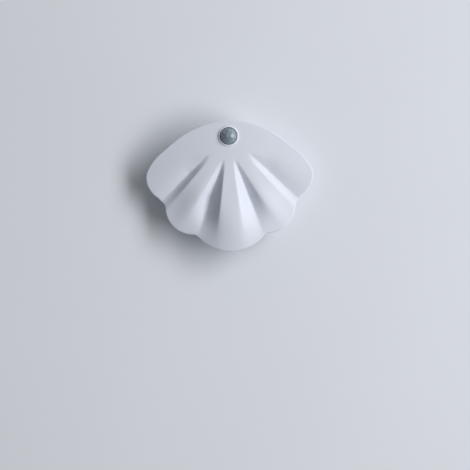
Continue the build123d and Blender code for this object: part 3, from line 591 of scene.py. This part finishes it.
lens_grey = smoked("lens_grey", (0.25, 0.305, 0.37))
steel = metal("zinc_steel", (0.6, 0.61, 0.63), 0.35, stretch=(0.05, 1, 1))
nickel = metal("nickel", (0.7, 0.68, 0.64), 0.2)
socket_steel = metal("socket_steel", (0.68, 0.69, 0.7), 0.25, stretch=(1, 1, 0.1))
foil = metal("cell_foil", (0.7, 0.71, 0.72), 0.4, bump=0.3)
green_board = circuit("board_green", (0.02, 0.12, 0.05), (0.06, 0.22, 0.1))
white_board = circuit("board_white", (0.78, 0.78, 0.75), (0.7, 0.7, 0.66))
frosted_white = frosted("diffuser_frost", (0.86, 0.86, 0.82))
clear_plastic = clear("clear_plastic", (0.85, 0.88, 0.9), 0.08)
dark_filter = plastic("filter_dark", (0.03, 0.03, 0.035), 0.12, bump=0.02, specular=0.6)

NODE_MATERIALS = {
    "wall_tape": foam,
    "wall_plate": steel,
    "rear_cover": cover_white,
    "magnets": nickel,
    "battery_tape": foam,
    "battery_cell": foil,
    "battery_wire_red": red_wire,
    "battery_wire_black": black_wire,
    "battery_connector": cream_plastic,
    "main_board": green_board,
    "board_chips": black_plastic,
    "board_screws": steel,
    "board_link": black_plastic,
    "usb_socket": socket_steel,
    "usb_tongue": black_plastic,
    "switch_body": black_plastic,
    "switch_knob": knob_grey,
    "light_pipe": clear_plastic,
    "status_led": phosphor,
    "light_diffuser": frosted_white,
    "inner_frame": cover_white,
    "led_board": white_board,
    "leds": phosphor,
    "sensor_cable": cable_grey,
    "cover_screws": steel,
    "sensor_board": green_board,
    "pir_can": socket_steel,
    "pir_window": dark_filter,
    "light_cell": black_plastic,
    "sensor_collar": black_plastic,
    "sensor_lens": lens_grey,
    "lens_bezel": bezel_white,
}
for node, material in NODE_MATERIALS.items():
    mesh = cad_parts[node].data
    mesh.materials.clear()
    mesh.materials.append(material)

# The front shell with its bosses and its sensor tube stands for the CAD one
shell = build_shell(shell_white)
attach(shell, "lamp")
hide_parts("front_shell")

pod_front_h = -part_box("inner_frame")[0][1] / MM
screw_low, screw_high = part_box("cover_screws")
lower_x = screw_high[0] / MM - SCREW_HEAD_R
upper_z = screw_high[2] / MM - SCREW_HEAD_R - SENSOR_Z
lower_z = screw_low[2] / MM + SCREW_HEAD_R - SENSOR_Z
for side, label in ((-1, "left"), (1, "right")):
    for name, x, z in (("upper", UPPER_BOSS_X, upper_z), ("lower", lower_x, lower_z)):
        build_post(
            f"shell_boss_{name}_{label}", side * x, z, BOSS_R, BOSS_HOLE_R, BOSS_HOLE_DEPTH,
            pod_front_h, shell_white,
        )
build_post("shell_sensor_tube", 0, 0, TUBE_R, TUBE_HOLE_R, None, pod_front_h, shell_white)

# Wall
half_wall = WALL_SIZE / 2
wall = add_piece(
    "wall",
    [(x * half_wall, WALL_GAP, z * half_wall) for x, z in ((-1, -1), (1, -1), (1, 1), (-1, 1))],
    [(0, 1, 2, 3)], wall_paint(), smooth=False,
)


def direction_from(angle, elevation):
    """A direction out from the wall, turned to the right by the angle and raised by the elevation."""
    turn, rise = radians(angle), radians(elevation)
    return Vector((sin(turn) * cos(rise), -cos(turn) * cos(rise), sin(rise)))


def add_area_light(name, direction, distance, size, power):
    """A rectangular lamp in the given direction, which faces the middle of the wall."""
    light = bpy.data.lights.new(name, "AREA")
    light.shape = "RECTANGLE"
    light.size, light.size_y = size
    light.energy = power
    lamp = bpy.data.objects.new(name, light)
    lamp.location = direction * distance
    lamp.rotation_euler = (-direction).to_track_quat("-Z", "Y").to_euler()
    scene.collection.objects.link(lamp)


def room_light():
    """The room's own light: brighter above and on the right, and bright behind the wall for rear views."""
    world = bpy.data.worlds.new("room")
    world.use_nodes = True
    tree = world.node_tree
    sky = tree.nodes["Background"]
    sky.inputs["Color"].default_value = (*WORLD_COLOUR, 1)
    direction = tree.nodes.new("ShaderNodeTexCoord")
    toward_bright = tree.nodes.new("ShaderNodeVectorMath")
    toward_bright.operation = "DOT_PRODUCT"
    toward_bright.inputs[1].default_value = BRIGHT_SIDE
    fade = tree.nodes.new("ShaderNodeMapRange")
    fade.inputs["From Min"].default_value = -1.0
    fade.inputs["From Max"].default_value = 1.0
    fade.inputs["To Min"].default_value = DIM_STRENGTH
    fade.inputs["To Max"].default_value = BRIGHT_STRENGTH
    axes = tree.nodes.new("ShaderNodeSeparateXYZ")
    behind = tree.nodes.new("ShaderNodeMapRange")
    behind.inputs["To Max"].default_value = BEHIND_STRENGTH
    total = tree.nodes.new("ShaderNodeMath")
    tree.links.new(direction.outputs["Generated"], toward_bright.inputs[0])
    tree.links.new(direction.outputs["Generated"], axes.inputs["Vector"])
    tree.links.new(toward_bright.outputs["Value"], fade.inputs["Value"])
    tree.links.new(axes.outputs["Y"], behind.inputs["Value"])
    tree.links.new(fade.outputs["Result"], total.inputs[0])
    tree.links.new(behind.outputs["Result"], total.inputs[1])
    tree.links.new(total.outputs["Value"], sky.inputs["Strength"])
    return world


add_area_light("key", direction_from(KEY_ANGLE, KEY_ELEVATION), KEY_DISTANCE, KEY_SIZE, KEY_POWER)
scene.world = room_light()

# Camera
camera = bpy.data.objects.new("camera", bpy.data.cameras.new("camera"))
camera.location = CAMERA_PLACE
level = Matrix.Rotation(radians(90), 3, "X")
camera.rotation_euler = (level @ Matrix.Rotation(radians(CAMERA_ROLL), 3, "Z")).to_euler()
camera.data.lens = CAMERA_LENS
scene.collection.objects.link(camera)
scene.camera = camera
scene.view_settings.view_transform = "Standard"
